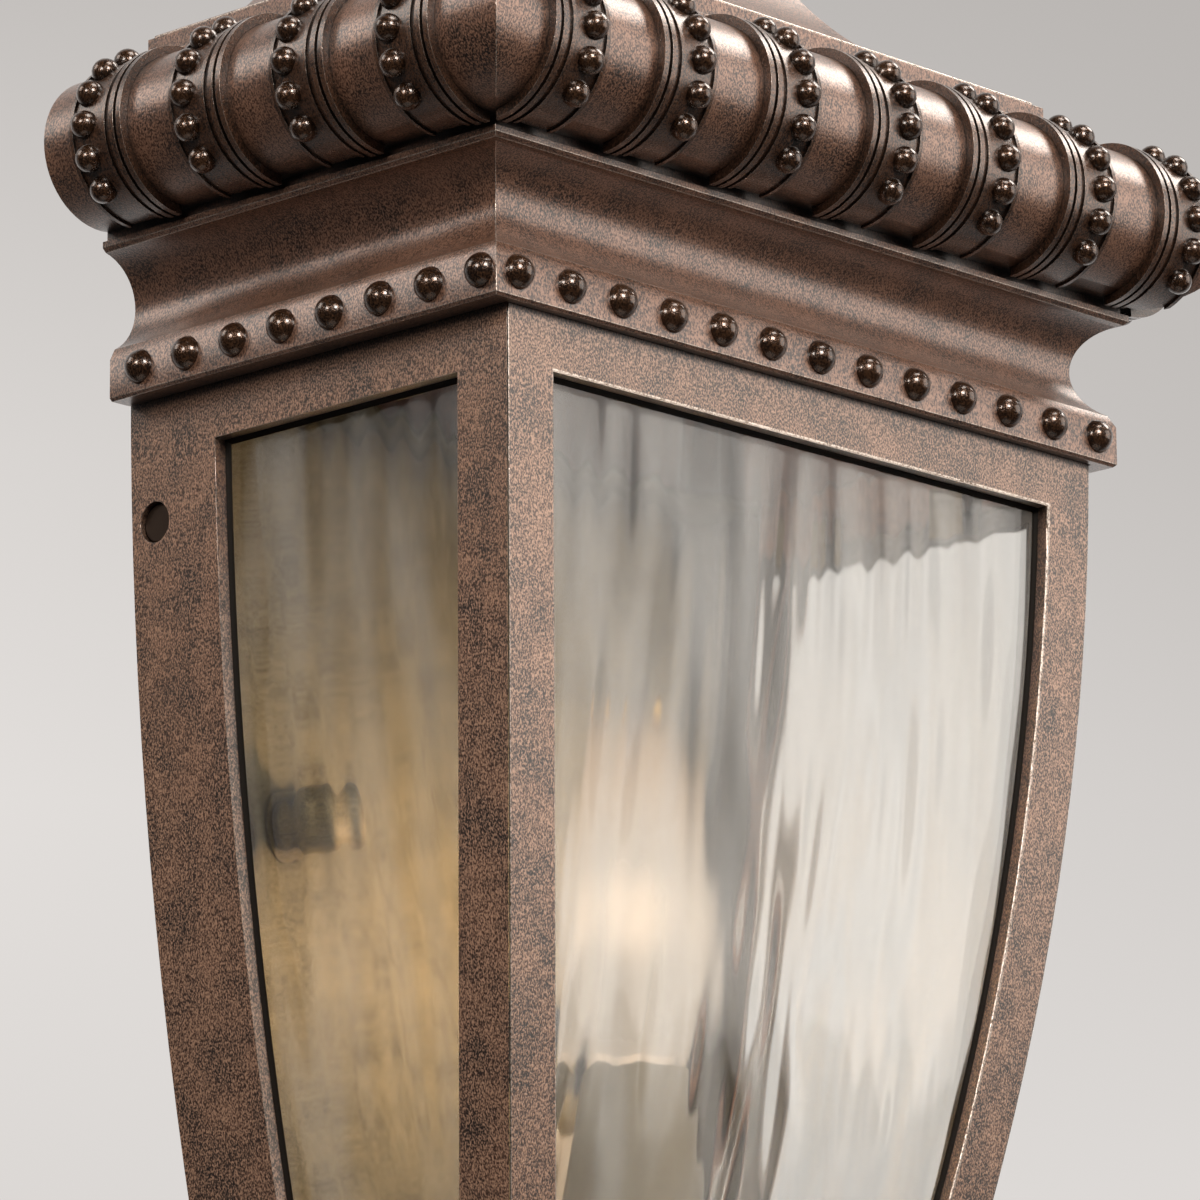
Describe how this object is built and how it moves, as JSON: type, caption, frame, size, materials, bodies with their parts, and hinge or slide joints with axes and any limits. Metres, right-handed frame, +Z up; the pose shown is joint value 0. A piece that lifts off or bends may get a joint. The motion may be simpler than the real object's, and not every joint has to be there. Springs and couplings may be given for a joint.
{
  "type": "outdoor wall light",
  "caption": "Half lantern for an outside wall: tapering glazed bronze cage with a strapped and beaded cornice, a hipped roof and a candle lamp inside, on a back plate.",
  "frame": {"origin": "on the wall plane, midway between the two fixing knobs", "axes": "+X to the right of someone facing the wall, +Y into the wall, so the front faces -Y, +Z up"},
  "size_m": [0.223, 0.1281, 0.4631],
  "materials": {
    "bronze": "satin",
    "rubbed_bronze": "satin",
    "bead_bronze": "gloss",
    "screw_bronze": "satin",
    "plate_bronze": "satin",
    "knob_bronze": "gloss",
    "water_glass": "gloss",
    "frosted_glass": "satin",
    "steel": "satin",
    "brass": "satin",
    "cap_metal": "satin",
    "cream_plastic": "matte",
    "black_plastic": "matte",
    "white_plastic": "matte",
    "lead_plastic": "gloss",
    "black_rubber": "matte",
    "foam": "matte"
  },
  "bodies": {
    "back": {"back_plate": "plate_bronze", "plate_rim": "plate_bronze", "wall_gasket": "foam", "fixing_knobs": "knob_bronze", "knob_washers": "steel", "cable_bush": "black_rubber", "terminal_block": "white_plastic", "earth_screw": "brass", "lamp_bracket": "steel", "bracket_screws": "steel", "holder_nipple": "brass", "nipple_nut": "brass", "lamp_holder": "black_plastic", "lamp_leads": "lead_plastic", "candle_sleeve": "cream_plastic", "bulb_cap": "cap_metal", "bulb_glass": "frosted_glass"},
    "cage": {"front_frame": "bronze", "left_frame": "bronze", "right_frame": "bronze", "front_glass": "water_glass", "left_glass": "water_glass", "right_glass": "water_glass", "pane_clips": "steel", "cornice": "bronze", "roll_straps": "rubbed_bronze", "strap_beads": "bead_bronze", "strip_beads": "bead_bronze", "roof": "bronze", "roof_cap": "bronze", "top_finial": "bronze", "base_moulding": "bronze", "bottom_finial": "bronze", "locking_screws": "screw_bronze"}
  },
  "joints": [
    {"name": "cage_draw_off", "type": "slide", "parent": "back", "child": "cage", "axis": [0, -1, 0], "range_m": [0, 0.14]}
  ]
}
